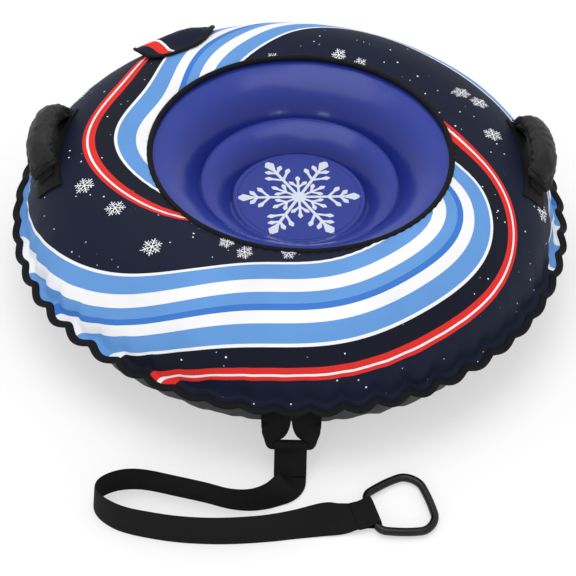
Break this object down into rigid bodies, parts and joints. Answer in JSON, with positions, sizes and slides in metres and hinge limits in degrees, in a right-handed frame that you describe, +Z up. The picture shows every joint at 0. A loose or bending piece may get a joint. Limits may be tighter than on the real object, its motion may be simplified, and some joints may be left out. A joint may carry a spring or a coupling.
{
  "type": "snow tube",
  "caption": "Round inflatable snow tube with a stepped seat, a sewn cover with padded side handles, and a webbing tow strap ending in a hand ring",
  "frame": {"origin": "middle of the flat underside of the tube, on the floor", "axes": "+Z up; -Y is the tow side; +X is the right-hand side seen from the tow side"},
  "size_m": [0.9072, 1.0651, 0.2525],
  "materials": {
    "blue_pvc": "welded PVC sheet with a soft sheen",
    "printed_fabric": "printed polyester cover cloth",
    "charcoal_fabric": "coated sliding fabric, slightly creased",
    "binding_tape": "woven binding tape",
    "black_webbing": "flat polypropylene webbing",
    "grip_fabric": "padded coated cloth",
    "foam": "closed cell foam",
    "elastic": "flat woven elastic",
    "ring_plastic": "moulded, smooth",
    "valve_plastic": "moulded, smooth",
    "valve_rubber": "soft and thin",
    "hook_and_loop": "short pile"
  },
  "bodies": {
    "tube": {"main_chamber": "blue_pvc", "seat_ring": "blue_pvc", "seat_floor": "blue_pvc", "top_cover": "printed_fabric", "bottom_cover": "charcoal_fabric", "seam_binding": "binding_tape", "rim_binding": "binding_tape", "rim_elastic": "elastic", "left_handle_base": "black_webbing", "left_handle_strap": "black_webbing", "left_handle_sleeve": "grip_fabric", "left_handle_foam": "foam", "right_handle_base": "black_webbing", "right_handle_strap": "black_webbing", "right_handle_sleeve": "grip_fabric", "right_handle_foam": "foam", "tow_anchor_patch": "black_webbing", "tow_loop": "black_webbing", "tow_strap": "black_webbing", "strap_tow_end": "black_webbing", "strap_ring_end": "black_webbing", "valve_base": "valve_plastic", "valve_diaphragm": "valve_rubber", "hatch_binding": "binding_tape", "cover_loop_patch": "hook_and_loop", "flap_seam_strip": "binding_tape"},
    "flap": {"valve_flap": "printed_fabric", "flap_binding": "binding_tape", "flap_hook_patch": "hook_and_loop"},
    "cap": {"valve_cap": "valve_plastic"},
    "ring": {"tow_ring": "ring_plastic"}
  },
  "joints": [
    {"name": "flap_open", "type": "hinge", "parent": "tube", "child": "flap", "pos_m": [-0.22155, 0.32846, 0.1998], "axis": [-0.829, -0.5592, 0], "range_deg": [0, 120]},
    {"name": "valve_cap_pull", "type": "slide", "parent": "tube", "child": "cap", "axis": [-0.2796, 0.4145, 0.866], "range_m": [0, 0.006]},
    {"name": "tow_ring_swing", "type": "hinge", "parent": "tube", "child": "ring", "pos_m": [0.121, -0.554, 0.0089], "axis": [0.2924, -0.9563, 0], "range_deg": [0, 120]}
  ]
}
